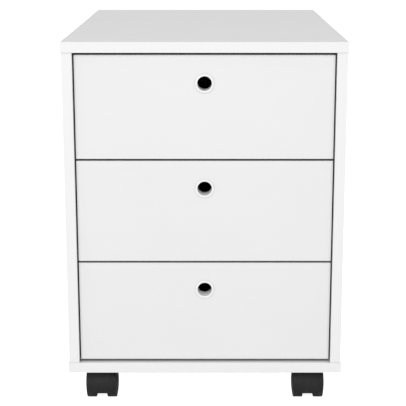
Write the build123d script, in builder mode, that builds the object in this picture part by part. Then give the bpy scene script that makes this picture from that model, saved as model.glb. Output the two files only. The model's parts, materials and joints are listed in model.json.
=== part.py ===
from build123d import *
import os

# Rolling pedestal cabinet: a board carcass on four hooded twin-wheel casters, with three
# inset drawers on roller slides. Millimetres. The origin is on the floor under the middle
# of the cabinet, +Z is up and the drawers open towards -Y.

os.makedirs("parts", exist_ok=True)

# ---- Driving dimensions ------------------------------------------------------------------
WIDTH = 400.0  # top and bottom panels, along X
DEPTH = 600.0  # top panel, along Y
HEIGHT = 540.0
CASTER_HEIGHT = 56.0  # floor to the underside of the bottom panel
BOARD = 15.0  # melamine-faced chipboard
BOX_BOARD = 12.0  # drawer sides and backs
HARDBOARD = 3.0  # back panel and drawer bases
SIDE_OVERHANG = 1.1  # top and bottom panels past the side panels
FRONT_OVERHANG = 1.0
BACK_INSET = 2.0  # rear face of the back panel to the rear edge of the top panel
BACK_SIDE_MARGIN = 2.0  # edges of the back panel inside those of the carcass
BACK_BOTTOM_MARGIN = 1.0
BACK_TOP_MARGIN = 0.5
EASED = 0.6  # eased edges of the boards
FIT = 0.1  # clearance round a fastener
BLIND = 1.0  # hole beyond the end of its fastener

FRONT_RECESS = 8.0  # drawer fronts behind the front edge of the top panel
SIDE_GAP = 1.9
TOP_GAP = 3.5
DRAWER_GAP = 2.8
BOTTOM_GAP = 3.3

# ---- Places worked out from them ---------------------------------------------------------
FRONT_Y = -DEPTH / 2
REAR_Y = DEPTH / 2
SIDE_OUTER = WIDTH / 2 - SIDE_OVERHANG
SIDE_INNER = SIDE_OUTER - BOARD
SIDE_MIDDLE = SIDE_OUTER - BOARD / 2
SIDE_FRONT_Y = FRONT_Y + FRONT_OVERHANG
CARCASS_REAR_Y = REAR_Y - BACK_INSET - HARDBOARD
FLOOR_Z = CASTER_HEIGHT + BOARD  # upper face of the bottom panel
CEILING_Z = HEIGHT - BOARD  # lower face of the top panel
FRONT_FACE_Y = FRONT_Y + FRONT_RECESS
FRONT_REAR_Y = FRONT_FACE_Y + BOARD
FRONT_HALF = SIDE_INNER - SIDE_GAP
FRONT_HEIGHT = (CEILING_Z - FLOOR_Z - TOP_GAP - BOTTOM_GAP - 2 * DRAWER_GAP) / 3
DRAWERS = {
    name: FLOOR_Z + BOTTOM_GAP + row * (FRONT_HEIGHT + DRAWER_GAP)
    for row, name in enumerate(("bottom_drawer", "middle_drawer", "top_drawer"))
}
SIDES = {"left": -1, "right": 1}

# ---- Drawer box ----------------------------------------------------------------------------
SLIDE_SPACE = 12.5  # between a side panel and the drawer box
BOX_OUTER = SIDE_INNER - SLIDE_SPACE
BOX_INNER = BOX_OUTER - BOX_BOARD
BOX_MIDDLE = BOX_OUTER - BOX_BOARD / 2
BOX_LENGTH = 500.0
BOX_REAR_Y = FRONT_REAR_Y + BOX_LENGTH
BOX_LIFT = 14.0  # underside of the box above the underside of the drawer front
BOX_HEIGHT = 105.0
BASE_LIFT = 9.0  # drawer base above the underside of the box
GROOVE_DEPTH = 5.0
GROOVE_HEIGHT = HARDBOARD + 2 * FIT
BACK_DROP = 10.0  # drawer back lower than the drawer sides

# ---- Finger ring ---------------------------------------------------------------------------
HOLE_DROP = 40.0  # centre of the finger hole below the top edge of the drawer front
BOARD_HOLE_R = 12.0
RING_BORE_R = 10.25
RING_TUBE_R = 11.75
RING_FLANGE_R = 13.25
RING_BARB_R = 12.4
RING_BARB_GAP = 0.2  # board to barb
RING_BARB_END = 3.0  # board to the rear end of the barb
RING_PROUD = 1.5
RING_TUBE_LENGTH = 22.5
RING_ROUND = 0.7

# ---- Roller slides: X inwards from the side panel, Z from the middle of the rail -----------
STEEL = 1.2
RAIL_LIFT = 26.0  # middle of the rail above the underside of the drawer front
CABINET_RAIL_HALF = 15.0
CABINET_RAIL_REACH = 10.5
CABINET_RAIL_LENGTH = 500.0
CABINET_RAIL_Y = FRONT_REAR_Y + 2.0
DRAWER_RAIL_LOW = -8.0
DRAWER_RAIL_HIGH = 7.2
DRAWER_RAIL_REACH = 2.0
DRAWER_RAIL_Y = FRONT_REAR_Y + 1.0
ROLLER_R = 9.5
ROLLER_WIDTH = 8.1
ROLLER_BORE_R = 2.05
ROLLER_CHAMFER = 0.6
PIN_R = 2.0
PIN_HEAD_R = 3.5
PIN_HEAD = 0.5
CABINET_ROLLER_MIDDLE = 5.95
CABINET_ROLLER_Y = CABINET_RAIL_Y + 14.0
CABINET_ROLLER_DROP = 3.8
DRAWER_ROLLER_MIDDLE = 6.4
DRAWER_ROLLER_Y = BOX_REAR_Y - 14.0
DRAWER_ROLLER_DROP = 4.0
ROLLER_SIDE_PLAY = 0.15
RAIL_SCREW_YS = (-230.0, -20.0, 190.0)
CABINET_SCREW_RISE = 10.5
DRAWER_SCREW_RISE = 3.0

# ---- Fasteners -----------------------------------------------------------------------------
SCREW_TIP = 1.5
RECESS_LENGTH = 1.2  # cross recess, over the radius of its head
RECESS_ARM = 0.25  # width of an arm over the length of the cross
RECESS_DEPTH = 0.25  # depth over the length, shallow enough to stay inside a countersunk head
PAN_BEVEL = 0.5
SINK_ANGLE = 90.0
RAIL_SCREW_R = 1.7
RAIL_SCREW_HEAD_R = 3.0
RAIL_SCREW_HEAD = 1.6
RAIL_SCREW_LENGTH = 12.0
DRAWER_RAIL_SCREW_R = 1.4
DRAWER_RAIL_SCREW_HEAD_R = 2.2
DRAWER_RAIL_SCREW_HEAD = 0.8
DRAWER_RAIL_SCREW_LENGTH = 10.0
PLATE_SCREW_R = 2.0
PLATE_SCREW_HEAD_R = 3.8
PLATE_SCREW_HEAD = 1.8
PLATE_SCREW_LENGTH = 14.0
BOTTOM_SCREW_R = 2.5
BOTTOM_SCREW_HEAD_R = 5.0
BOTTOM_SCREW_LENGTH = 50.0
BACK_SCREW_R = 1.6
BACK_SCREW_HEAD_R = 3.4
BACK_SCREW_LENGTH = 35.0
NAIL_R = 0.8
NAIL_HEAD_R = 2.0
NAIL_HEAD = 0.7
NAIL_LENGTH = 20.0
DOWEL_R = 4.0
DOWEL_LENGTH = 30.0
DOWEL_CHAMFER = 1.0
CAM_SINK = 0.5  # face of a cam below the mouth of its pocket
CAM_CROSS = 1.5  # depth of the cross in a cam's face
BOLT_THREAD = 10.0
BOLT_TIP = 1.0
BOLT_COLLAR = 8.0
BOLT_HEAD = 3.0
BOLT_HEAD_STEP = 1.2  # head wider than the neck, in radius
BOLT_R = 2.9  # threaded end of a carcass cam bolt
BOLT_NECK_R = 1.9
BOLT_CHANNEL_R = 3.6
BOLT_SHORT = 4.0  # end of the neck before the middle of the cam
DRAWER_BOLT_R = 2.5
DRAWER_BOLT_NECK_R = 1.6
DRAWER_BOLT_CHANNEL_R = 3.1
DRAWER_BOLT_SHORT = 3.0

# ---- Carcass joints ------------------------------------------------------------------------
CAM_YS = (-240.0, 240.0)
DOWEL_YS = (-208.0, 208.0)
BOTTOM_SCREW_YS = (-230.0, 0.0, 230.0)
CAM_BACKSET = 34.0  # cam centre from the joint
CAM_POCKET_R = 7.5
CAM_POCKET = 12.5
DOWEL_IN_TOP = 10.0
DRAWER_CAM_BACKSET = 24.0
DRAWER_CAM_POCKET_R = 6.0
DRAWER_CAM_POCKET = 9.5
DRAWER_CAM_RISES = (45.0, 92.0)  # above the underside of the drawer front
BACK_SCREW_RISES = (48.0, 88.0)
NAIL_ZS = (95.0, 200.0, 305.0, 410.0, 515.0)
NAIL_XS = (-110.0, 0.0, 110.0)

# ---- Casters -------------------------------------------------------------------------------
CASTER_X = 155.1  # swivel axes
CASTER_Y = 232.0
TRAIL = 18.0  # axle ahead of the swivel axis, towards -Y
WHEEL_R = 24.0
WHEEL_INNER = 8.1  # X from the middle of the caster
WHEEL_OUTER = 22.4
WHEEL_DOME = 24.4
WHEEL_DOME_SHOULDER = 0.4  # dome lower than its middle at half the wheel's radius
WHEEL_FACE_R = 21.5
TREAD_OUTER_BEVEL = 2.0
TREAD_INNER_BEVEL = 1.2
RIM_THICK = 3.2
RIM_ROOT_THICK = 3.6
DISC_THICK = 3.0
HUB_INNER = 7.6
HUB_R = 6.5
AXLE_R = 3.0
AXLE_HALF = 21.2
AXLE_BORE_R = 3.05
AXLE_BORE_END = 21.5
AXLE_CHAMFER = 0.4
WEB_HALF = 6.5
WEB_R = 25.8
WEB_COLUMN = 13.0  # web round the kingpin, along Y
HOOD_HALF = 18.5
HOOD_IN_R = 24.8
HOOD_OUT_R = 26.8
HOOD_LOW_Z = 13.1
HOOD_END = 150.0  # degrees over the top from the front of the wheels
BOSS_R = 13.0
COLLAR_R = 19.3
COLLAR_Z = 50.3
HOUSING_TOP = 53.7
PLATE = 46.0
PLATE_THICK = 2.0
PLATE_CORNER_R = 5.0
PLATE_HOLE_R = 2.3
PLATE_PITCH = 34.0
KINGPIN_R = 4.0
KINGPIN_BORE_R = 4.05
KINGPIN_LENGTH = 26.0
PLATE_Z = CASTER_HEIGHT - PLATE_THICK
CASTERS = {
    "front_left_caster": (-CASTER_X, -CASTER_Y),
    "front_right_caster": (CASTER_X, -CASTER_Y),
    "rear_left_caster": (-CASTER_X, CASTER_Y),
    "rear_right_caster": (CASTER_X, CASTER_Y),
}

UPWARDS = (Align.CENTER, Align.CENTER, Align.MIN)


def save(piece, name):
    """Labels a finished piece and writes its STEP file."""
    piece.part.label = name
    export_step(piece.part, f"parts/{name}.step")


def section(x, y, z):
    """A plane across the cabinet, seen from the front: X to the right and Z upwards."""
    return Plane(origin=(x, y, z), x_dir=(1, 0, 0), z_dir=(0, -1, 0))


def outwards(x, y, z, side):
    """A plane that faces the outside of the cabinet on one side."""
    return Plane(origin=(side * x, y, z), x_dir=(0, 1, 0), z_dir=(side, 0, 0))


def inwards(x, y, z, side):
    """A plane that faces the middle of the cabinet from one side."""
    return Plane(origin=(side * x, y, z), x_dir=(0, 1, 0), z_dir=(-side, 0, 0))


def facing_up(places, z):
    return [Plane(origin=(x, y, z), z_dir=(0, 0, 1)) for x, y in places]


def facing_down(places, z):
    return [Plane(origin=(x, y, z), z_dir=(0, 0, -1)) for x, y in places]


def cross(length):
    """Adds a cross to the sketch being made."""
    Rectangle(length, length * RECESS_ARM)
    Rectangle(length * RECESS_ARM, length)


def turned(profile, recess=0.0, recess_top=0.0):
    """A turned fastener with its axis on Z, with a cross recess of that length in its top."""
    with BuildPart() as piece:
        with BuildSketch(Plane.XZ):
            Polygon(*profile, align=None)
        revolve(axis=Axis.Z)
        if recess:
            with BuildSketch(Plane.XY.offset(recess_top)):
                cross(recess)
            extrude(amount=-recess * RECESS_DEPTH, mode=Mode.SUBTRACT)
    return piece.part


def pan_head(head_r, head, shank_r, length):
    """A screw whose head stands on the plane and whose shank goes down into it."""
    profile = [(0, -length), (shank_r, SCREW_TIP - length), (shank_r, 0), (head_r, 0)]
    profile += [(head_r, head / 2), (head_r - PAN_BEVEL, head), (0, head)]
    return turned(profile, recess=head_r * RECESS_LENGTH, recess_top=head)


def flat_head(head_r, shank_r, length):
    """A screw with a countersunk head, flush with the plane."""
    profile = [(0, -length), (shank_r, SCREW_TIP - length), (shank_r, shank_r - head_r)]
    return turned(profile + [(head_r, 0), (0, 0)], recess=head_r * RECESS_LENGTH)


def cam_bolt(backset, thread_r, neck_r, channel_r):
    """A cam bolt: threaded above the plane, with a collar, neck and head below it."""
    end = -backset - BOLT_HEAD
    head_r = neck_r + BOLT_HEAD_STEP
    collar_r = channel_r - 2 * FIT
    profile = [(0, end), (head_r, end), (head_r, -backset), (neck_r, -backset)]
    profile += [(neck_r, -BOLT_COLLAR), (collar_r, -BOLT_COLLAR), (collar_r, 0), (thread_r, 0)]
    return turned(profile + [(thread_r, BOLT_THREAD - BOLT_TIP), (0, BOLT_THREAD)])


def cam_disc(radius, thick, channel_r, middle):
    """A cam on the bottom of its pocket, with the passage that lets the bolt's head in."""
    with BuildPart() as cam:
        Cylinder(radius - 2 * FIT, thick, align=UPWARDS)
        with BuildSketch(Plane.XZ):
            with Locations((0, middle)):
                Circle(channel_r + FIT)
        extrude(amount=radius, both=True, mode=Mode.SUBTRACT)
        with BuildSketch(Plane.XY.offset(thick)):
            cross(radius)
        extrude(amount=-CAM_CROSS, mode=Mode.SUBTRACT)
    return cam.part


def group(name, *shapes_and_planes):
    """Writes separate copies of one or more fasteners as one node."""
    with BuildPart() as pieces:
        for shape, planes in shapes_and_planes:
            with Locations(*planes):
                add(shape)
    save(pieces, name)


def strip(near, far, low, high, side, rail_z):
    """Adds a rectangle to a rail's section, measured inwards from the side panel."""
    with Locations((side * (SIDE_INNER - (near + far) / 2), rail_z + (low + high) / 2)):
        Rectangle(far - near, high - low)


def board(x_low, x_high, y_low, y_high, z_low, z_high):
    """Adds a board with its faces at those places to the part being built."""
    with Locations(((x_low + x_high) / 2, (y_low + y_high) / 2, (z_low + z_high) / 2)):
        Box(x_high - x_low, y_high - y_low, z_high - z_low)


# ---- Places of the carcass fasteners -------------------------------------------------------
CAM_PLACES = [(s * SIDE_MIDDLE, y) for s in (-1, 1) for y in CAM_YS]
DOWEL_PLACES = [(s * SIDE_MIDDLE, y) for s in (-1, 1) for y in DOWEL_YS]
BOTTOM_SCREW_PLACES = [(s * SIDE_MIDDLE, y) for s in (-1, 1) for y in BOTTOM_SCREW_YS]
PLATE_SCREW_PLACES = [
    (x + dx * PLATE_PITCH / 2, y + dy * PLATE_PITCH / 2)
    for x, y in CASTERS.values()
    for dx in (-1, 1)
    for dy in (-1, 1)
]
NAIL_PLACES = [(s * SIDE_MIDDLE, z) for s in (-1, 1) for z in NAIL_ZS]
NAIL_PLACES += [(x, CASTER_HEIGHT + BOARD / 2) for x in NAIL_XS]
NAIL_PLANES = [
    Plane(origin=(x, REAR_Y - BACK_INSET, z), x_dir=(-1, 0, 0), z_dir=(0, 1, 0))
    for x, z in NAIL_PLACES
]

# ---- Carcass panels ------------------------------------------------------------------------
with BuildPart() as top_panel:
    board(-WIDTH / 2, WIDTH / 2, FRONT_Y, REAR_Y, CEILING_Z, HEIGHT)
    fillet(top_panel.edges(), EASED)
    with Locations(*facing_down(CAM_PLACES, CEILING_Z)):
        Hole(BOLT_R + FIT, BOLT_THREAD + BLIND)
    with Locations(*facing_down(DOWEL_PLACES, CEILING_Z)):
        Hole(DOWEL_R + FIT, DOWEL_IN_TOP + BLIND)
save(top_panel, "top_panel")

with BuildPart() as bottom_panel:
    board(-WIDTH / 2, WIDTH / 2, FRONT_Y, CARCASS_REAR_Y, CASTER_HEIGHT, FLOOR_Z)
    fillet(bottom_panel.edges(), EASED)
    with Locations(*facing_down(BOTTOM_SCREW_PLACES, CASTER_HEIGHT)):
        CounterSinkHole(BOTTOM_SCREW_R + FIT, BOTTOM_SCREW_HEAD_R + FIT, BOARD, SINK_ANGLE)
    with Locations(*facing_down(PLATE_SCREW_PLACES, CASTER_HEIGHT)):
        Hole(PLATE_SCREW_R + FIT / 2, PLATE_SCREW_LENGTH - PLATE_THICK + BLIND)
    with Locations(*NAIL_PLANES):
        Hole(NAIL_R + FIT / 2, NAIL_LENGTH + BLIND)
save(bottom_panel, "bottom_panel")

for name, side in SIDES.items():
    near_x, far_x = sorted((side * SIDE_INNER, side * SIDE_OUTER))
    with BuildPart() as side_panel:
        board(near_x, far_x, SIDE_FRONT_Y, CARCASS_REAR_Y, FLOOR_Z, CEILING_Z)
        fillet(side_panel.edges().filter_by(Axis.Z), EASED)
        with Locations(*facing_up([(side * SIDE_MIDDLE, y) for y in CAM_YS], CEILING_Z)):
            Hole(BOLT_CHANNEL_R, CAM_BACKSET)
        with Locations(*[inwards(SIDE_INNER, y, CEILING_Z - CAM_BACKSET, side) for y in CAM_YS]):
            Hole(CAM_POCKET_R, CAM_POCKET)
        with Locations(*facing_up([(side * SIDE_MIDDLE, y) for y in DOWEL_YS], CEILING_Z)):
            Hole(DOWEL_R + FIT, DOWEL_LENGTH - DOWEL_IN_TOP + BLIND)
        with Locations(*facing_down([(side * SIDE_MIDDLE, y) for y in BOTTOM_SCREW_YS], FLOOR_Z)):
            Hole(BOTTOM_SCREW_R + FIT, BOTTOM_SCREW_LENGTH - BOARD + BLIND)
        with Locations(
            *[
                inwards(SIDE_INNER, y, front_z + RAIL_LIFT + CABINET_SCREW_RISE, side)
                for front_z in DRAWERS.values()
                for y in RAIL_SCREW_YS
            ]
        ):
            Hole(RAIL_SCREW_R + FIT / 2, RAIL_SCREW_LENGTH)
        with Locations(*NAIL_PLANES):
            Hole(NAIL_R + FIT / 2, NAIL_LENGTH + BLIND)
    save(side_panel, f"{name}_side_panel")

with BuildPart() as back_panel:
    board(
        BACK_SIDE_MARGIN - SIDE_OUTER,
        SIDE_OUTER - BACK_SIDE_MARGIN,
        CARCASS_REAR_Y,
        REAR_Y - BACK_INSET,
        CASTER_HEIGHT + BACK_BOTTOM_MARGIN,
        CEILING_Z - BACK_TOP_MARGIN,
    )
    with Locations(*NAIL_PLANES):
        Hole(NAIL_R + FIT / 2, HARDBOARD)
save(back_panel, "back_panel")

# ---- Carcass fasteners ---------------------------------------------------------------------
carcass_cam = cam_disc(CAM_POCKET_R, CAM_POCKET - CAM_SINK, BOLT_CHANNEL_R, CAM_POCKET - BOARD / 2)
group(
    "cam_locks",
    (
        carcass_cam,
        [
            Plane(
                origin=(s * (SIDE_INNER + CAM_POCKET), y, CEILING_Z - CAM_BACKSET),
                x_dir=(0, 1, 0),
                z_dir=(-s, 0, 0),
            )
            for s in (-1, 1)
            for y in CAM_YS
        ],
    ),
)
group(
    "cam_bolts",
    (
        cam_bolt(CAM_BACKSET - BOLT_SHORT, BOLT_R, BOLT_NECK_R, BOLT_CHANNEL_R),
        facing_up(CAM_PLACES, CEILING_Z),
    ),
)
dowel_half = DOWEL_LENGTH / 2
dowel = turned(
    [
        (0, -dowel_half),
        (DOWEL_R - DOWEL_CHAMFER, -dowel_half),
        (DOWEL_R, DOWEL_CHAMFER - dowel_half),
        (DOWEL_R, dowel_half - DOWEL_CHAMFER),
        (DOWEL_R - DOWEL_CHAMFER, dowel_half),
        (0, dowel_half),
    ]
)
group("dowels", (dowel, facing_up(DOWEL_PLACES, CEILING_Z + DOWEL_IN_TOP - dowel_half)))
group(
    "bottom_panel_screws",
    (
        flat_head(BOTTOM_SCREW_HEAD_R, BOTTOM_SCREW_R, BOTTOM_SCREW_LENGTH),
        facing_down(BOTTOM_SCREW_PLACES, CASTER_HEIGHT),
    ),
)
nail = turned(
    [
        (0, -NAIL_LENGTH),
        (NAIL_R, SCREW_TIP - NAIL_LENGTH),
        (NAIL_R, 0),
        (NAIL_HEAD_R, 0),
        (NAIL_HEAD_R, NAIL_HEAD),
        (0, NAIL_HEAD),
    ]
)
group("back_panel_nails", (nail, NAIL_PLANES))

# ---- Cabinet half of the roller slides -----------------------------------------------------
with BuildPart() as cabinet_rails:
    for front_z in DRAWERS.values():
        rail_z = front_z + RAIL_LIFT
        for side in SIDES.values():
            with BuildSketch(section(0, CABINET_RAIL_Y, 0)):
                strip(0, STEEL, -CABINET_RAIL_HALF, CABINET_RAIL_HALF, side, rail_z)
                strip(0, CABINET_RAIL_REACH, -CABINET_RAIL_HALF, STEEL - CABINET_RAIL_HALF, side, rail_z)
                strip(0, CABINET_RAIL_REACH, CABINET_RAIL_HALF - STEEL, CABINET_RAIL_HALF, side, rail_z)
            extrude(amount=-CABINET_RAIL_LENGTH)
            roller_z = rail_z - CABINET_ROLLER_DROP
            pin_end = CABINET_ROLLER_MIDDLE + ROLLER_WIDTH / 2 + ROLLER_SIDE_PLAY
            with Locations(inwards(SIDE_INNER - STEEL, CABINET_ROLLER_Y, roller_z, side)):
                Cylinder(PIN_R, pin_end + PIN_HEAD - STEEL, align=UPWARDS)
            with Locations(inwards(SIDE_INNER - pin_end, CABINET_ROLLER_Y, roller_z, side)):
                Cylinder(PIN_HEAD_R, PIN_HEAD, align=UPWARDS)
            with Locations(
                *[
                    inwards(SIDE_INNER - STEEL, y, rail_z + CABINET_SCREW_RISE, side)
                    for y in RAIL_SCREW_YS
                ]
            ):
                Hole(RAIL_SCREW_R + FIT, STEEL)
save(cabinet_rails, "cabinet_rails")

group(
    "rail_screws",
    (
        pan_head(RAIL_SCREW_HEAD_R, RAIL_SCREW_HEAD, RAIL_SCREW_R, RAIL_SCREW_LENGTH),
        [
            inwards(SIDE_INNER - STEEL, y, front_z + RAIL_LIFT + CABINET_SCREW_RISE, side)
            for front_z in DRAWERS.values()
            for side in SIDES.values()
            for y in RAIL_SCREW_YS
        ],
    ),
)


def rollers(name, y, z, middle):
    """The left and right rollers of one drawer, on one line across the cabinet."""
    with BuildPart() as pair:
        with Locations(*[outwards(SIDE_INNER - middle, y, z, side) for side in SIDES.values()]):
            Cylinder(ROLLER_R, ROLLER_WIDTH)
        chamfer(pair.edges().filter_by(GeomType.CIRCLE), ROLLER_CHAMFER)
        with Locations(*[outwards(SIDE_INNER - middle, y, z, side) for side in SIDES.values()]):
            Cylinder(ROLLER_BORE_R, ROLLER_WIDTH, mode=Mode.SUBTRACT)
    save(pair, name)


# ---- Drawers -------------------------------------------------------------------------------
BACK_MIDDLE_Y = BOX_REAR_Y - BOX_BOARD / 2

drawer_cam = cam_disc(
    DRAWER_CAM_POCKET_R,
    DRAWER_CAM_POCKET - CAM_SINK,
    DRAWER_BOLT_CHANNEL_R,
    DRAWER_CAM_POCKET - BOX_BOARD / 2,
)
drawer_bolt = cam_bolt(
    DRAWER_CAM_BACKSET - DRAWER_BOLT_SHORT,
    DRAWER_BOLT_R,
    DRAWER_BOLT_NECK_R,
    DRAWER_BOLT_CHANNEL_R,
)
back_screw = flat_head(BACK_SCREW_HEAD_R, BACK_SCREW_R, BACK_SCREW_LENGTH)
drawer_rail_screw = pan_head(
    DRAWER_RAIL_SCREW_HEAD_R,
    DRAWER_RAIL_SCREW_HEAD,
    DRAWER_RAIL_SCREW_R,
    DRAWER_RAIL_SCREW_LENGTH,
)

for drawer, front_z in DRAWERS.items():
    rail_z = front_z + RAIL_LIFT
    box_z = front_z + BOX_LIFT
    box_top = box_z + BOX_HEIGHT
    base_z = box_z + BASE_LIFT
    hole_z = front_z + FRONT_HEIGHT - HOLE_DROP
    bolt_planes = [
        Plane(origin=(s * BOX_MIDDLE, FRONT_REAR_Y, front_z + rise), x_dir=(0, 0, 1), z_dir=(0, -1, 0))
        for s in (-1, 1)
        for rise in DRAWER_CAM_RISES
    ]

    with BuildPart() as front:
        board(-FRONT_HALF, FRONT_HALF, FRONT_FACE_Y, FRONT_REAR_Y, front_z, front_z + FRONT_HEIGHT)
        fillet(front.edges(), EASED)
        with Locations(section(0, FRONT_FACE_Y, hole_z)):
            Hole(BOARD_HOLE_R, BOARD)
        with BuildSketch(section(0, FRONT_REAR_Y, 0)):
            with Locations((0, base_z + GROOVE_HEIGHT / 2)):
                Rectangle(2 * (BOX_INNER + GROOVE_DEPTH), GROOVE_HEIGHT)
        extrude(amount=GROOVE_DEPTH, mode=Mode.SUBTRACT)
        with Locations(*bolt_planes):
            Cylinder(DRAWER_BOLT_R + FIT, BOLT_THREAD + BLIND, align=UPWARDS, mode=Mode.SUBTRACT)
    save(front, f"{drawer}_front")

    for name, side in SIDES.items():
        near_x, far_x = sorted((side * BOX_INNER, side * BOX_OUTER))
        with BuildPart() as box_side:
            board(near_x, far_x, FRONT_REAR_Y, BOX_REAR_Y, box_z, box_top)
            fillet(box_side.edges().filter_by(Axis.Y), EASED)
            with BuildSketch(section(0, FRONT_REAR_Y, 0)):
                with Locations((side * (BOX_INNER + GROOVE_DEPTH / 2), base_z + GROOVE_HEIGHT / 2)):
                    Rectangle(GROOVE_DEPTH, GROOVE_HEIGHT)
            extrude(amount=-BOX_LENGTH, mode=Mode.SUBTRACT)
            with Locations(*bolt_planes):
                Hole(DRAWER_BOLT_CHANNEL_R, DRAWER_CAM_BACKSET)
            with Locations(
                *[
                    inwards(BOX_INNER, FRONT_REAR_Y + DRAWER_CAM_BACKSET, front_z + rise, side)
                    for rise in DRAWER_CAM_RISES
                ]
            ):
                Hole(DRAWER_CAM_POCKET_R, DRAWER_CAM_POCKET)
            with Locations(
                *[outwards(BOX_OUTER, BACK_MIDDLE_Y, front_z + rise, side) for rise in BACK_SCREW_RISES]
            ):
                CounterSinkHole(BACK_SCREW_R + FIT, BACK_SCREW_HEAD_R + FIT, BOX_BOARD, SINK_ANGLE)
            with Locations(
                *[outwards(BOX_OUTER, y, rail_z + DRAWER_SCREW_RISE, side) for y in RAIL_SCREW_YS]
            ):
                Hole(DRAWER_RAIL_SCREW_R + FIT / 2, DRAWER_RAIL_SCREW_LENGTH)
        save(box_side, f"{drawer}_{name}_side")

    with BuildPart() as back:
        back_z = base_z + GROOVE_HEIGHT
        board(-BOX_INNER, BOX_INNER, BOX_REAR_Y - BOX_BOARD, BOX_REAR_Y, back_z, box_top - BACK_DROP)
        fillet(back.edges().filter_by(Axis.X), EASED)
        with Locations(
            *[
                outwards(BOX_INNER, BACK_MIDDLE_Y, front_z + rise, side)
                for side in SIDES.values()
                for rise in BACK_SCREW_RISES
            ]
        ):
            Hole(BACK_SCREW_R + FIT, BACK_SCREW_LENGTH - BOX_BOARD + BLIND)
    save(back, f"{drawer}_back")

    base_half = BOX_INNER + GROOVE_DEPTH - 2 * FIT
    with BuildPart() as base:
        board(
            -base_half,
            base_half,
            FRONT_REAR_Y - GROOVE_DEPTH + 2 * FIT,
            BOX_REAR_Y,
            base_z + FIT,
            base_z + FIT + HARDBOARD,
        )
    save(base, f"{drawer}_base")

    with BuildPart() as finger_ring:
        with BuildSketch(Plane(origin=(0, FRONT_FACE_Y, hole_z), x_dir=(1, 0, 0), z_dir=(0, 0, 1))):
            Polygon(
                (RING_BORE_R, -RING_PROUD),
                (RING_FLANGE_R, -RING_PROUD),
                (RING_FLANGE_R, 0),
                (RING_TUBE_R, 0),
                (RING_TUBE_R, BOARD + RING_BARB_GAP),
                (RING_BARB_R, BOARD + RING_BARB_GAP),
                (RING_TUBE_R, BOARD + RING_BARB_END),
                (RING_TUBE_R, RING_TUBE_LENGTH),
                (RING_BORE_R, RING_TUBE_LENGTH),
                align=None,
            )
        revolve(axis=Axis((0, 0, hole_z), (0, 1, 0)))
        fillet(finger_ring.edges().filter_by(GeomType.CIRCLE).group_by(Axis.Y)[0], RING_ROUND)
    save(finger_ring, f"{drawer}_finger_ring")

    with BuildPart() as rails:
        for side in SIDES.values():
            with BuildSketch(section(0, DRAWER_RAIL_Y, 0)):
                strip(SLIDE_SPACE - STEEL, SLIDE_SPACE, DRAWER_RAIL_LOW, DRAWER_RAIL_HIGH, side, rail_z)
                strip(
                    DRAWER_RAIL_REACH,
                    SLIDE_SPACE,
                    DRAWER_RAIL_HIGH - STEEL,
                    DRAWER_RAIL_HIGH,
                    side,
                    rail_z,
                )
            extrude(amount=DRAWER_RAIL_Y - BOX_REAR_Y)
            roller_z = rail_z - DRAWER_ROLLER_DROP
            pin_end = DRAWER_ROLLER_MIDDLE - ROLLER_WIDTH / 2 - ROLLER_SIDE_PLAY
            with Locations(outwards(BOX_OUTER + STEEL, DRAWER_ROLLER_Y, roller_z, side)):
                Cylinder(PIN_R, SLIDE_SPACE - STEEL - pin_end + PIN_HEAD, align=UPWARDS)
            with Locations(outwards(SIDE_INNER - pin_end, DRAWER_ROLLER_Y, roller_z, side)):
                Cylinder(PIN_HEAD_R, PIN_HEAD, align=UPWARDS)
            with Locations(
                *[
                    outwards(BOX_OUTER + STEEL, y, rail_z + DRAWER_SCREW_RISE, side)
                    for y in RAIL_SCREW_YS
                ]
            ):
                Hole(DRAWER_RAIL_SCREW_R + FIT, STEEL)
    save(rails, f"{drawer}_rails")

    group(
        f"{drawer}_fasteners",
        (drawer_bolt, bolt_planes),
        (
            drawer_cam,
            [
                Plane(
                    origin=(
                        side * (BOX_INNER + DRAWER_CAM_POCKET),
                        FRONT_REAR_Y + DRAWER_CAM_BACKSET,
                        front_z + rise,
                    ),
                    x_dir=(0, 0, 1),
                    z_dir=(-side, 0, 0),
                )
                for side in SIDES.values()
                for rise in DRAWER_CAM_RISES
            ],
        ),
        (
            back_screw,
            [
                outwards(BOX_OUTER, BACK_MIDDLE_Y, front_z + rise, side)
                for side in SIDES.values()
                for rise in BACK_SCREW_RISES
            ],
        ),
        (
            drawer_rail_screw,
            [
                outwards(BOX_OUTER + STEEL, y, rail_z + DRAWER_SCREW_RISE, side)
                for side in SIDES.values()
                for y in RAIL_SCREW_YS
            ],
        ),
    )

    rollers(
        f"{drawer}_cabinet_rollers",
        CABINET_ROLLER_Y,
        rail_z - CABINET_ROLLER_DROP,
        CABINET_ROLLER_MIDDLE,
    )
    rollers(
        f"{drawer}_rear_rollers",
        DRAWER_ROLLER_Y,
        rail_z - DRAWER_ROLLER_DROP,
        DRAWER_ROLLER_MIDDLE,
    )

# ---- Casters -------------------------------------------------------------------------------
with BuildPart() as caster_plates:
    for x, y in CASTERS.values():
        with BuildSketch(Plane.XY.offset(PLATE_Z)):
            with Locations((x, y)):
                RectangleRounded(PLATE, PLATE, PLATE_CORNER_R)
                with GridLocations(PLATE_PITCH, PLATE_PITCH, 2, 2):
                    Circle(PLATE_HOLE_R, mode=Mode.SUBTRACT)
        extrude(amount=PLATE_THICK)
        with BuildSketch(Plane.XY.offset(PLATE_Z)):
            with Locations((x, y)):
                Circle(KINGPIN_R)
        extrude(amount=-KINGPIN_LENGTH)
save(caster_plates, "caster_plates")

group(
    "caster_screws",
    (
        pan_head(PLATE_SCREW_HEAD_R, PLATE_SCREW_HEAD, PLATE_SCREW_R, PLATE_SCREW_LENGTH),
        facing_down(PLATE_SCREW_PLACES, PLATE_Z),
    ),
)


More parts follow.
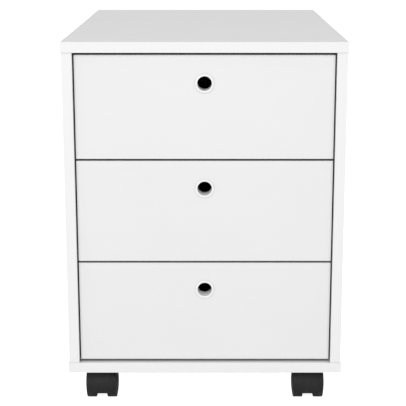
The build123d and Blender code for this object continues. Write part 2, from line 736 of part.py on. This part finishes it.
def wheel(name, x, axle_y, side):
    """A caster wheel: a rim, a domed outer disc and a hub with a blind bore for the axle."""
    with BuildPart() as piece:
        with BuildSketch(section(x, axle_y, WHEEL_R)):
            with BuildLine():
                ThreePointArc(
                    (side * WHEEL_DOME, 0),
                    (side * (WHEEL_DOME - WHEEL_DOME_SHOULDER), WHEEL_R / 2),
                    (side * WHEEL_OUTER, WHEEL_FACE_R),
                )
                Polyline(
                    (side * WHEEL_OUTER, WHEEL_FACE_R),
                    (side * (WHEEL_OUTER - TREAD_OUTER_BEVEL), WHEEL_R),
                    (side * (WHEEL_INNER + TREAD_INNER_BEVEL), WHEEL_R),
                    (side * WHEEL_INNER, WHEEL_R - TREAD_INNER_BEVEL),
                    (side * WHEEL_INNER, WHEEL_R - RIM_THICK),
                    (side * (WHEEL_OUTER - RIM_ROOT_THICK), WHEEL_R - RIM_ROOT_THICK),
                    (side * (WHEEL_OUTER - DISC_THICK), HUB_R),
                    (side * HUB_INNER, HUB_R),
                    (side * HUB_INNER, AXLE_BORE_R),
                    (side * AXLE_BORE_END, AXLE_BORE_R),
                    (side * AXLE_BORE_END, 0),
                    (side * WHEEL_DOME, 0),
                )
            make_face()
        revolve(axis=Axis((x, axle_y, WHEEL_R), (1, 0, 0)))
    save(piece, name)


def caster(name, x, y):
    """The swivelling half of a caster: hooded housing, axle and two wheels."""
    axle_y = y - TRAIL
    hood_plane = Plane(origin=(x, axle_y, WHEEL_R), x_dir=(0, 1, 0), z_dir=(1, 0, 0))
    reach = 2 * HOOD_OUT_R
    hood_end = Vector(reach, 0).rotate(Axis.Z, 180 - HOOD_END)
    with BuildPart() as housing:
        with BuildSketch(hood_plane):
            Circle(HOOD_OUT_R)
            Circle(HOOD_IN_R, mode=Mode.SUBTRACT)
            Polygon(
                (0, 0),
                (hood_end.X, hood_end.Y),
                (reach, -reach),
                (0, -reach),
                align=None,
                mode=Mode.SUBTRACT,
            )
            with Locations((0, HOOD_LOW_Z - WHEEL_R)):
                Rectangle(2 * reach, reach, align=(Align.CENTER, Align.MAX), mode=Mode.SUBTRACT)
        extrude(amount=HOOD_HALF, both=True)
        with Locations((x, y, WHEEL_R)):
            Cylinder(BOSS_R, HOUSING_TOP - WHEEL_R, align=UPWARDS)
        with BuildSketch(hood_plane):
            Circle(HOOD_IN_R)
        extrude(amount=HOOD_HALF, both=True, mode=Mode.SUBTRACT)
        with Locations((x, y, COLLAR_Z)):
            Cylinder(COLLAR_R, HOUSING_TOP - COLLAR_Z, align=UPWARDS)
        with BuildSketch(hood_plane):
            Circle(WEB_R)
            with Locations((TRAIL, 0)):
                Rectangle(WEB_COLUMN, HOUSING_TOP - WHEEL_R, align=(Align.CENTER, Align.MIN))
            with Locations((0, HOOD_LOW_Z - WHEEL_R)):
                Rectangle(2 * reach, reach, align=(Align.CENTER, Align.MAX), mode=Mode.SUBTRACT)
        extrude(amount=WEB_HALF, both=True)
        with Locations((x, y, HOUSING_TOP)):
            Hole(KINGPIN_BORE_R, KINGPIN_LENGTH + BLIND)
        with Locations(Plane(origin=(x, axle_y, WHEEL_R), z_dir=(1, 0, 0))):
            Cylinder(AXLE_BORE_R, 2 * WEB_HALF, mode=Mode.SUBTRACT)
    save(housing, f"{name}_housing")

    with BuildPart() as axle:
        with Locations(Plane(origin=(x, axle_y, WHEEL_R), z_dir=(1, 0, 0))):
            Cylinder(AXLE_R, 2 * AXLE_HALF)
        chamfer(axle.edges().filter_by(GeomType.CIRCLE), AXLE_CHAMFER)
    save(axle, f"{name}_axle")

    for wheel_name, side in SIDES.items():
        wheel(f"{name}_{wheel_name}_wheel", x, axle_y, side)


for name, (x, y) in CASTERS.items():
    caster(name, x, y)
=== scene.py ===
"""Rolling pedestal cabinet: materials, smooth turned parts, studio and camera round the CAD frame."""

import json
import math

import bmesh
import bpy
from mathutils import Matrix, Vector


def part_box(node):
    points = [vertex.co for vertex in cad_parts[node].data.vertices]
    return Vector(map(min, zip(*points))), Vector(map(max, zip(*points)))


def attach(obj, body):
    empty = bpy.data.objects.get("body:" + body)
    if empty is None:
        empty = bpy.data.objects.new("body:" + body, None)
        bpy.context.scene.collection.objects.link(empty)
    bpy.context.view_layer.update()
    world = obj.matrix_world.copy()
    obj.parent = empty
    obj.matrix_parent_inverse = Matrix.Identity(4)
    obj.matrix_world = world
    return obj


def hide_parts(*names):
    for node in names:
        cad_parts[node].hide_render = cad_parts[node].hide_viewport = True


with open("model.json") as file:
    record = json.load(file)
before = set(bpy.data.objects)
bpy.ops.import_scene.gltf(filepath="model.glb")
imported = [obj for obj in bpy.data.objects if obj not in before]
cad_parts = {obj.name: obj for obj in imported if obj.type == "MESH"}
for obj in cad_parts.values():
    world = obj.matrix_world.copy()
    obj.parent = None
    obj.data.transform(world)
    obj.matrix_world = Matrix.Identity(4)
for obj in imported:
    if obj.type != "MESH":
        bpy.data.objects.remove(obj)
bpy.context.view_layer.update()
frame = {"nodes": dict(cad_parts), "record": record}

DRAWERS = ("bottom_drawer", "middle_drawer", "top_drawer")
CASTERS = ("front_left_caster", "front_right_caster", "rear_left_caster", "rear_right_caster")
MM = 0.001
AXES = (0, 1, 2)

# Camera, metres and degrees: in front of the cabinet and a little above it
CAMERA_PLACE = (0.0069, -1.9651, 0.7058)
CAMERA_PITCH = 13.298
CAMERA_LENS = 106.8
CAMERA_SENSOR = 36.0
CAMERA_SHIFT_X = -0.016
LEVEL = 90.0  # tilt of a camera that looks along the floor

# Studio
WORLD_GLOW = 0.684
BACKDROP_GLOW = 1.05
FLOOR_SIZE = 14.0
FLOOR_TONE = 0.8
FLOOR_GLOW = 0.9
FLOOR_ROUGHNESS = 0.9
KEY_LIGHT_PLACE = (-0.9, -5.1, 3.0)
KEY_LIGHT_TARGET = (0, 0, 0.3)
KEY_LIGHT_SIZE = 2.2
KEY_LIGHT_POWER = 113.1

# Melamine board: face, edge banding and the joint line between them
BAND_THICK = 1.0 * MM
SEAM_HALF = 0.1 * MM
FACE_TONE = 0.851
FACE_CLOUD = 0.006  # how far the face's tone drifts each way
BAND_TONE = 0.897
BAND_SMOOTHER = -0.1  # added to the face's roughness
SEAM_TONE = 0.66

# Painted shade: the colour darkened in narrow gaps, where light is lost
PAINTED_SHADE_REACH = 6.0 * MM
PAINTED_SHADE_TONE = 0.45
PAINTED_SHADE_SAMPLES = 8

# Finger rings
FLANGE_WALL = 3.0 * MM
TUBE_WALL = 1.5 * MM
FLANGE_PROUD = 1.5 * MM
BOARD = 15.0 * MM  # thickness of the drawer front
BARB_START = 0.2 * MM  # behind the board
BARB_PEAK = 0.3 * MM
BARB_END = 2.8 * MM
BARB_HEIGHT = 0.6 * MM
LIP_INNER_ROUND = 0.9 * MM
LIP_OUTER_ROUND = 1.0 * MM
BARB_ROUND = 0.2 * MM
TUBE_END_ROUND = 0.3 * MM

# Caster wheels
AXLE_BORE = 3.05 * MM  # radius
HUB = 6.5 * MM  # radius
END_WALL = 2.9 * MM  # from the end of the bore to the outer face
DISC_THICK = 3.0 * MM
DISC_CONE = 0.6 * MM
TREAD_ROOT = 3.6 * MM  # thickness of the tread's wall at the disc
TREAD_RIM = 3.2 * MM  # and at the rim
RIM_INSET = 0.5 * MM
SHOULDER_DROP = 0.4 * MM
BORE_ROUND = 0.3 * MM
HUB_ROUND = 0.5 * MM
RIM_INNER_ROUND = 0.3 * MM
RIM_OUTER_ROUND = 1.6 * MM
SHOULDER_ROUND = 1.4 * MM
WHEEL_FACE = 21.5 * MM  # radius of the domed outer face
WHEEL_DOME = 2.0 * MM
GROOVE = 0.5 * MM
GROOVE_SLOPE = 0.3 * MM
OUTER_GROOVE = (20.6 * MM, 19.6 * MM)
CAP_GROOVE = (9.4 * MM, 8.6 * MM)
DOME_STEPS = 8

# Caster hoods
HOOD_SHARP = math.radians(35)  # edges sharper than this are rounded
HOOD_ROUND = 0.5 * MM
HOOD_ROUND_STEPS = 3
HOOD_SMOOTH = math.radians(40)
FLAT = math.radians(0.5)  # faces closer than this are one plane

# Meshes
TURNED_STEPS = 128
TURNED_SMOOTH = math.radians(35)
CORNER_STEPS = 6
WELD = 1e-6  # points closer than this become one
TINY = 1e-7  # edges shorter than this are dropped

# Textures: each noise is its grains to the metre and its detail
DETAIL = 3.0
TINT_LOW = 0.3  # the noise value where the darker tone ends
TINT_HIGH = 0.7  # and where the lighter tone begins
CLOUD_NOISE = (9, DETAIL)
BOARD_ROUGH_NOISE = (40, DETAIL)
BOARD_ROUGHNESS = (0.38, 0.48)
PEARL_NOISE = (1400, 2)
PEARL_DEPTH = 0.03 * MM
PEARL_STRENGTH = 0.5


# ---- Node helpers ----------------------------------------------------------------------------
def new_material(name):
    """A material with its Principled shader and object coordinates, in metres."""
    made = bpy.data.materials.new(name)
    made.use_nodes = True
    nodes = made.node_tree.nodes
    shader = nodes["Principled BSDF"]
    place = nodes.new("ShaderNodeTexCoord").outputs["Object"]
    return made, shader, place


def noise(made, place, scale, detail, stretch=(1, 1, 1)):
    """Noise of that many grains to the metre, drawn out along an axis by stretch."""
    tree = made.node_tree
    mapping = tree.nodes.new("ShaderNodeMapping")
    mapping.inputs["Scale"].default_value = stretch
    texture = tree.nodes.new("ShaderNodeTexNoise")
    texture.inputs["Scale"].default_value = scale
    texture.inputs["Detail"].default_value = detail
    tree.links.new(place, mapping.inputs["Vector"])
    tree.links.new(mapping.outputs["Vector"], texture.inputs["Vector"])
    return texture.outputs["Fac"]


def tint(made, shader, factor, dark, light):
    """Colours the surface between two tones by a texture."""
    tree = made.node_tree
    ramp = tree.nodes.new("ShaderNodeValToRGB")
    ramp.color_ramp.elements[0].position = TINT_LOW
    ramp.color_ramp.elements[0].color = (*dark, 1)
    ramp.color_ramp.elements[1].position = TINT_HIGH
    ramp.color_ramp.elements[1].color = (*light, 1)
    tree.links.new(factor, ramp.inputs["Fac"])
    tree.links.new(ramp.outputs["Color"], shader.inputs["Base Color"])


def vary_roughness(made, shader, factor, low, high):
    """Spreads the roughness between two values by a texture."""
    tree = made.node_tree
    spread = tree.nodes.new("ShaderNodeMapRange")
    spread.inputs["To Min"].default_value = low
    spread.inputs["To Max"].default_value = high
    tree.links.new(factor, spread.inputs["Value"])
    tree.links.new(spread.outputs["Result"], shader.inputs["Roughness"])


def add_bump(made, shader, height, depth, strength):
    """Raises the surface by a texture, to that depth in metres."""
    tree = made.node_tree
    bump = tree.nodes.new("ShaderNodeBump")
    bump.inputs["Distance"].default_value = depth
    bump.inputs["Strength"].default_value = strength
    tree.links.new(height, bump.inputs["Height"])
    tree.links.new(bump.outputs["Normal"], shader.inputs["Normal"])


def add_painted_shade(made, shader):
    """Paints shade into the colour in narrow gaps, darkening it where light is lost."""
    tree = made.node_tree
    clean = shader.inputs["Base Color"].links[0].from_socket
    # ambient occlusion within reach sets how much painted shade darkens the colour
    occlusion = tree.nodes.new("ShaderNodeAmbientOcclusion")
    occlusion.inputs["Distance"].default_value = PAINTED_SHADE_REACH
    occlusion.samples = PAINTED_SHADE_SAMPLES
    spread = tree.nodes.new("ShaderNodeMapRange")
    spread.inputs["To Min"].default_value = PAINTED_SHADE_TONE
    spread.inputs["To Max"].default_value = 1.0
    tree.links.new(occlusion.outputs["AO"], spread.inputs["Value"])
    shaded = tree.nodes.new("ShaderNodeVectorMath")
    shaded.operation = "SCALE"
    tree.links.new(clean, shaded.inputs[0])
    tree.links.new(spread.outputs["Result"], shaded.inputs["Scale"])
    tree.links.new(shaded.outputs[0], shader.inputs["Base Color"])


def grey(value, warmth=0.0):
    """A grey, or a warmer or colder one."""
    return (value + warmth, value, value - warmth)


def calculate(made, kind, first, second, third=None):
    """A Math node over numbers and outputs of other nodes."""
    step = made.node_tree.nodes.new("ShaderNodeMath")
    step.operation = kind
    for index, value in enumerate((first, second, third)):
        if isinstance(value, bpy.types.NodeSocket):
            made.node_tree.links.new(value, step.inputs[index])
        elif value is not None:
            step.inputs[index].default_value = value
    return step.outputs[0]


def edge_distance(made, place, node):
    """How far a point of a board lies inside the board's nearest banded edge, in metres."""
    low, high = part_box(node)
    size = high - low
    thin = min(AXES, key=lambda axis: size[axis])
    parts = made.node_tree.nodes.new("ShaderNodeSeparateXYZ")
    made.node_tree.links.new(place, parts.inputs[0])
    nearest = 1.0
    for axis in AXES:
        if axis == thin:
            continue
        along = parts.outputs[axis]
        for first, second in ((along, low[axis]), (high[axis], along)):
            inside = calculate(made, "SUBTRACT", first, second)
            nearest = calculate(made, "MINIMUM", nearest, inside)
    return nearest


# ---- Materials -------------------------------------------------------------------------------
def white_board(node):
    """Melamine-faced board, with a smoother, brighter band round its edges."""
    made, shader, place = new_material(f"white_board_{node}")
    tree = made.node_tree
    distance = edge_distance(made, place, node)
    band = calculate(made, "LESS_THAN", distance, BAND_THICK)
    seam = calculate(made, "COMPARE", distance, BAND_THICK, SEAM_HALF)
    cloud = noise(made, place, *CLOUD_NOISE)
    tint(made, shader, cloud, grey(FACE_TONE - FACE_CLOUD), grey(FACE_TONE + FACE_CLOUD))
    for share, tone in ((band, BAND_TONE), (seam, SEAM_TONE)):
        beneath = shader.inputs["Base Color"].links[0].from_socket
        over = tree.nodes.new("ShaderNodeMixRGB")
        over.inputs["Color2"].default_value = (*grey(tone), 1)
        tree.links.new(share, over.inputs["Fac"])
        tree.links.new(beneath, over.inputs["Color1"])
        tree.links.new(over.outputs[0], shader.inputs["Base Color"])
    # painted shade: the colour darkened in the narrow gaps round the board
    add_painted_shade(made, shader)
    vary_roughness(made, shader, noise(made, place, *BOARD_ROUGH_NOISE), *BOARD_ROUGHNESS)
    rough = shader.inputs["Roughness"].links[0].from_socket
    smoother = calculate(made, "MULTIPLY_ADD", band, BAND_SMOOTHER, rough)
    tree.links.new(smoother, shader.inputs["Roughness"])
    pearl = noise(made, place, *PEARL_NOISE)
    height = calculate(made, "SUBTRACT", pearl, seam)
    add_bump(made, shader, height, PEARL_DEPTH, PEARL_STRENGTH)
    return made


def textured(
    name,
    tones,
    tone_noise,
    roughness,
    rough_noise,
    depth,
    strength,
    bump_noise,
    stretch=(1, 1, 1),
    sockets=(),
):
    """A material whose tone, roughness and height each follow a noise of (grains, detail)."""
    made, shader, place = new_material(name)
    for socket, value in sockets:
        shader.inputs[socket].default_value = value
    tint(made, shader, noise(made, place, *tone_noise, stretch), *tones)
    vary_roughness(made, shader, noise(made, place, *rough_noise, stretch), *roughness)
    add_bump(made, shader, noise(made, place, *bump_noise, stretch), depth, strength)
    return made


MATERIALS = {
    # White-lacquered hardboard with a pressed mesh and fibres
    "hardboard": textured(
        "hardboard",
        tones=(grey(0.73, 0.004), grey(0.80, 0.003)),
        tone_noise=(260, 6),
        roughness=(0.5, 0.68),
        rough_noise=(90, DETAIL),
        depth=0.12 * MM,
        strength=0.6,
        bump_noise=(900, 4),
    ),
    # Zinc-plated steel, a little cloudy
    "zinc": textured(
        "zinc",
        tones=(grey(0.52), (0.64, 0.65, 0.67)),
        tone_noise=(160, 5),
        roughness=(0.24, 0.42),
        rough_noise=(700, DETAIL),
        depth=0.03 * MM,
        strength=0.5,
        bump_noise=(1600, 3),
        sockets=(("Metallic", 1.0),),
    ),
    # White powder coat on the rails, with orange peel
    "rail_paint": textured(
        "rail_paint",
        tones=(grey(0.80), grey(0.84)),
        tone_noise=(30, DETAIL),
        roughness=(0.32, 0.44),
        rough_noise=(120, DETAIL),
        depth=0.06 * MM,
        strength=0.6,
        bump_noise=(700, 2),
    ),
    # Natural nylon, which lets a little light in
    "nylon": textured(
        "nylon",
        tones=(grey(0.72, 0.01), grey(0.78, 0.008)),
        tone_noise=(220, DETAIL),
        roughness=(0.4, 0.55),
        rough_noise=(300, DETAIL),
        depth=0.04 * MM,
        strength=0.5,
        bump_noise=(1200, 2),
        sockets=(
            ("Subsurface Weight", 0.1),
            ("Subsurface Radius", (2 * MM, 2 * MM, 2 * MM)),
        ),
    ),
    # Glossy moulded plastic, a touch brighter than the boards
    "ring_plastic": textured(
        "ring_plastic",
        tones=(grey(0.93), grey(0.95)),
        tone_noise=(120, DETAIL),
        roughness=(0.2, 0.28),
        rough_noise=(300, DETAIL),
        depth=0.02 * MM,
        strength=0.4,
        bump_noise=(900, 2),
    ),
    # Beech, with its grain along the dowel
    "dowel_wood": textured(
        "dowel_wood",
        tones=((0.50, 0.33, 0.18), (0.68, 0.50, 0.31)),
        tone_noise=(500, 5),
        roughness=(0.55, 0.7),
        rough_noise=(500, 5),
        depth=0.1 * MM,
        strength=0.6,
        bump_noise=(500, 5),
        stretch=(1, 1, 0.06),
    ),
    # Black moulded nylon with a fine spark-eroded skin
    "caster_plastic": textured(
        "caster_plastic",
        tones=(grey(0.019), grey(0.024)),
        tone_noise=(180, DETAIL),
        roughness=(0.5, 0.62),
        rough_noise=(350, DETAIL),
        depth=0.05 * MM,
        strength=0.6,
        bump_noise=(2600, 3),
        sockets=(("Specular IOR Level", 0.2),),
    ),
    # Black wheel, smoother than the hood in places and scuffed in others
    "wheel_plastic": textured(
        "wheel_plastic",
        tones=(grey(0.019), grey(0.026)),
        tone_noise=(320, 6),
        roughness=(0.42, 0.6),
        rough_noise=(260, 6),
        depth=0.06 * MM,
        strength=0.7,
        bump_noise=(2200, 4),
        sockets=(("Specular IOR Level", 0.25),),
    ),
}

for row in frame["record"]["subparts"]:
    node, slot = row["node"], row["material_slot"]
    node_mesh = frame["nodes"][node].data
    node_mesh.materials.clear()
    node_mesh.materials.append(white_board(node) if slot == "white_board" else MATERIALS[slot])


# ---- Turned pieces ---------------------------------------------------------------------------
def rounded(corners):
    """A closed outline through corners of (distance from the axis, place along it, radius)."""
    outline = []
    points = [Vector(corner[:2]) for corner in corners]
    for index, here in enumerate(points):
        radius = corners[index][2]
        if not radius:
            outline.append(here)
            continue
        before = (points[index - 1] - here).normalized()
        after = (points[(index + 1) % len(points)] - here).normalized()
        half = before.angle(after) / 2
        start = here + before * radius / math.tan(half)
        end = here + after * radius / math.tan(half)
        centre = here + (before + after).normalized() * radius / math.sin(half)
        for step in range(CORNER_STEPS + 1):
            share = step / CORNER_STEPS
            spoke = (start - centre).slerp(end - centre, share).normalized() * radius
            outline.append(centre + spoke)
    return outline


def moulded_piece(mesh, name, slot, body, smooth, place):
    """Makes a shaded piece from a mesh, riding on a body."""
    bmesh.ops.recalc_face_normals(mesh, faces=mesh.faces)
    data = bpy.data.meshes.new(name)
    mesh.to_mesh(data)
    mesh.free()
    data.transform(place)
    data.materials.append(MATERIALS[slot])
    data.polygons.foreach_set("use_smooth", [True] * len(data.polygons))
    data.set_sharp_from_angle(angle=smooth)
    piece = bpy.data.objects.new(name, data)
    bpy.context.scene.collection.objects.link(piece)
    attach(piece, body)
    return piece


def turned_piece(name, outline, centre, axis, slot, body):
    """Spins an outline of (distance from the axis, place along it), in metres, into a solid."""
    mesh = bmesh.new()
    rings = []
    for step in range(TURNED_STEPS):
        turn = 2 * math.pi * step / TURNED_STEPS
        places = [(r * math.cos(turn), r * math.sin(turn), along) for r, along in outline]
        rings.append([mesh.verts.new(place) for place in places])
    count = len(outline)
    for step, ring in enumerate(rings):
        following = rings[(step + 1) % TURNED_STEPS]
        for index in range(count):
            other = (index + 1) % count
            mesh.faces.new((ring[index], following[index], following[other], ring[other]))
    bmesh.ops.remove_doubles(mesh, verts=mesh.verts, dist=WELD)
    bmesh.ops.dissolve_degenerate(mesh, dist=TINY, edges=mesh.edges)
    turn_to_axis = Vector((0, 0, 1)).rotation_difference(Vector(axis)).to_matrix().to_4x4()
    place = Matrix.Translation(centre) @ turn_to_axis
    return moulded_piece(mesh, name, slot, body, TURNED_SMOOTH, place)


def finger_ring(drawer):
    """The flanged ring in a drawer front, with a soft lip and a snap barb behind the board."""
    node = f"{drawer}_finger_ring"
    low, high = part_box(node)
    front, rear = low.y, high.y
    centre = Vector(((low.x + high.x) / 2, front, (low.z + high.z) / 2))
    flange = (high.x - low.x) / 2
    bore = flange - FLANGE_WALL
    tube = bore + TUBE_WALL
    behind = FLANGE_PROUD + BOARD
    depth = rear - front
    corners = [
        (bore, 0, LIP_INNER_ROUND),
        (flange, 0, LIP_OUTER_ROUND),
        (flange, FLANGE_PROUD, 0),
        (tube, FLANGE_PROUD, 0),
        (tube, behind + BARB_START, 0),
        (tube + BARB_HEIGHT, behind + BARB_PEAK, BARB_ROUND),
        (tube, behind + BARB_END, 0),
        (tube, depth, TUBE_END_ROUND),
        (bore, depth, TUBE_END_ROUND),
    ]
    name = f"{drawer}_ring_moulding"
    ring = turned_piece(name, rounded(corners), centre, (0, 1, 0), "ring_plastic", drawer)
    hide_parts(node)


for drawer in DRAWERS:
    finger_ring(drawer)


# ---- Casters ---------------------------------------------------------------------------------
def dome(radius, top):
    """How far out the wheel's outer face lies at a radius."""
    return top - WHEEL_DOME * (radius / WHEEL_FACE) ** 2


def dome_stretch(outer, inner, top):
    """Points of the outer face between two radii, from the outer one inwards."""
    steps = [outer + (inner - outer) * step / DOME_STEPS for step in range(DOME_STEPS + 1)]
    return [(radius, dome(radius, top)) for radius in steps]


def groove(outer, inner, top):
    """The floor of a ring groove in the outer face, with sloping walls."""
    ends = (outer - GROOVE_SLOPE, inner + GROOVE_SLOPE)
    return [(radius, dome(radius, top) - GROOVE) for radius in ends]


def caster_wheel(caster, side, sign):
    """A moulded wheel: rounded tread, hollow inner side, and a domed face with a hub cap."""
    node = f"{caster}_{side}_wheel"
    other_side = "right" if side == "left" else "left"
    low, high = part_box(node)
    other_low, other_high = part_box(f"{caster}_{other_side}_wheel")
    middle = (min(low.x, other_low.x) + max(high.x, other_high.x)) / 2
    centre = Vector((middle, (low.y + high.y) / 2, (low.z + high.z) / 2))
    radius = (high.z - low.z) / 2
    near = min(abs(low.x - middle), abs(high.x - middle))
    top = max(abs(low.x - middle), abs(high.x - middle))
    rim = near + RIM_INSET
    shoulder = top - WHEEL_DOME
    bore_end = top - END_WALL
    disc = shoulder - DISC_THICK
    corners = [
        (0, bore_end, 0),
        (AXLE_BORE, bore_end, 0),
        (AXLE_BORE, near, BORE_ROUND),
        (HUB, near, HUB_ROUND),
        (HUB, disc, 0),
        (radius - TREAD_ROOT, disc - DISC_CONE, 0),
        (radius - TREAD_RIM, rim, RIM_INNER_ROUND),
        (radius, rim, RIM_OUTER_ROUND),
        (radius, shoulder - SHOULDER_DROP, SHOULDER_ROUND),
        (WHEEL_FACE, shoulder, 0),
    ]
    outline = rounded(corners)
    outline += dome_stretch(WHEEL_FACE, OUTER_GROOVE[0], top)[1:]
    outline += groove(*OUTER_GROOVE, top)
    outline += dome_stretch(OUTER_GROOVE[1], CAP_GROOVE[0], top)
    outline += groove(*CAP_GROOVE, top)
    outline += dome_stretch(CAP_GROOVE[1], 0, top)
    wheel = turned_piece(f"{node}_moulding", outline, centre, (sign, 0, 0), "wheel_plastic", node)
    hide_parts(node)


def caster_hood(caster):
    """The housing, with the rounded edges of a moulding."""
    node = f"{caster}_housing"
    mesh = bmesh.new()
    mesh.from_mesh(frame["nodes"][node].data)
    bmesh.ops.remove_doubles(mesh, verts=mesh.verts, dist=WELD)
    bmesh.ops.dissolve_limit(
        mesh, angle_limit=FLAT, verts=mesh.verts, edges=mesh.edges, delimit={"NORMAL"}
    )
    closed = [edge for edge in mesh.edges if edge.is_manifold]
    sharp = [edge for edge in closed if edge.calc_face_angle() > HOOD_SHARP]
    bmesh.ops.bevel(
        mesh,
        geom=sharp,
        offset=HOOD_ROUND,
        offset_type="OFFSET",
        segments=HOOD_ROUND_STEPS,
        profile=0.5,
        affect="EDGES",
        clamp_overlap=True,
    )
    name = f"{node}_moulding"
    hood = moulded_piece(mesh, name, "caster_plastic", caster, HOOD_SMOOTH, Matrix())
    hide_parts(node)


for caster in CASTERS:
    caster_hood(caster)
    caster_wheel(caster, "left", -1)
    caster_wheel(caster, "right", 1)


# ---- Studio ----------------------------------------------------------------------------------
def area_light(name, place, target, size, power):
    light = bpy.data.lights.new(name, "AREA")
    light.shape = "SQUARE"
    light.size = size
    light.energy = power
    lamp = bpy.data.objects.new(name, light)
    lamp.location = place
    lamp.rotation_euler = (Vector(target) - Vector(place)).to_track_quat("-Z", "Y").to_euler()
    bpy.context.scene.collection.objects.link(lamp)


def studio():
    """A white world that looks plain to the camera, and one large soft light above the front."""
    world = bpy.data.worlds.new("studio")
    bpy.context.scene.world = world
    world.use_nodes = True
    tree = world.node_tree
    glow = tree.nodes["Background"]
    glow.inputs["Color"].default_value = (1, 1, 1, 1)
    glow.inputs["Strength"].default_value = WORLD_GLOW
    backdrop = tree.nodes.new("ShaderNodeBackground")
    backdrop.inputs["Color"].default_value = (1, 1, 1, 1)
    backdrop.inputs["Strength"].default_value = BACKDROP_GLOW
    seen = tree.nodes.new("ShaderNodeLightPath")
    mix = tree.nodes.new("ShaderNodeMixShader")
    tree.links.new(seen.outputs["Is Camera Ray"], mix.inputs["Fac"])
    tree.links.new(glow.outputs[0], mix.inputs[1])
    tree.links.new(backdrop.outputs[0], mix.inputs[2])
    tree.links.new(mix.outputs[0], tree.nodes["World Output"].inputs["Surface"])
    area_light("key_light", KEY_LIGHT_PLACE, KEY_LIGHT_TARGET, KEY_LIGHT_SIZE, KEY_LIGHT_POWER)


def pale_floor():
    """A floor that lights the cabinet from below and looks plain white to the camera."""
    bpy.ops.mesh.primitive_plane_add(size=FLOOR_SIZE, location=(0, 0, 0))
    floor = bpy.context.object
    floor.name = "studio_floor"
    made = bpy.data.materials.new("studio_floor")
    made.use_nodes = True
    shader = made.node_tree.nodes["Principled BSDF"]
    shader.inputs["Base Color"].default_value = (*grey(FLOOR_TONE), 1)
    shader.inputs["Roughness"].default_value = FLOOR_ROUGHNESS
    shader.inputs["Specular IOR Level"].default_value = 0.0
    shine = made.node_tree.nodes.new("ShaderNodeEmission")
    shine.inputs["Strength"].default_value = FLOOR_GLOW
    looked_at = made.node_tree.nodes.new("ShaderNodeLightPath")
    lit = made.node_tree.nodes.new("ShaderNodeAddShader")
    either = made.node_tree.nodes.new("ShaderNodeMixShader")
    link = made.node_tree.links.new
    link(shader.outputs[0], lit.inputs[0])
    link(shine.outputs[0], lit.inputs[1])
    link(looked_at.outputs["Is Camera Ray"], either.inputs["Fac"])
    link(shader.outputs[0], either.inputs[1])
    link(lit.outputs[0], either.inputs[2])
    link(either.outputs[0], made.node_tree.nodes["Material Output"].inputs["Surface"])
    floor.data.materials.append(made)


def camera():
    lens = bpy.data.cameras.new("camera")
    lens.lens = CAMERA_LENS
    lens.sensor_width = CAMERA_SENSOR
    lens.shift_x = CAMERA_SHIFT_X
    eye = bpy.data.objects.new("camera", lens)
    eye.location = CAMERA_PLACE
    eye.rotation_euler = (math.radians(LEVEL - CAMERA_PITCH), 0, 0)
    bpy.context.scene.collection.objects.link(eye)
    bpy.context.scene.camera = eye


studio()
pale_floor()
camera()
bpy.context.scene.view_settings.view_transform = "Standard"
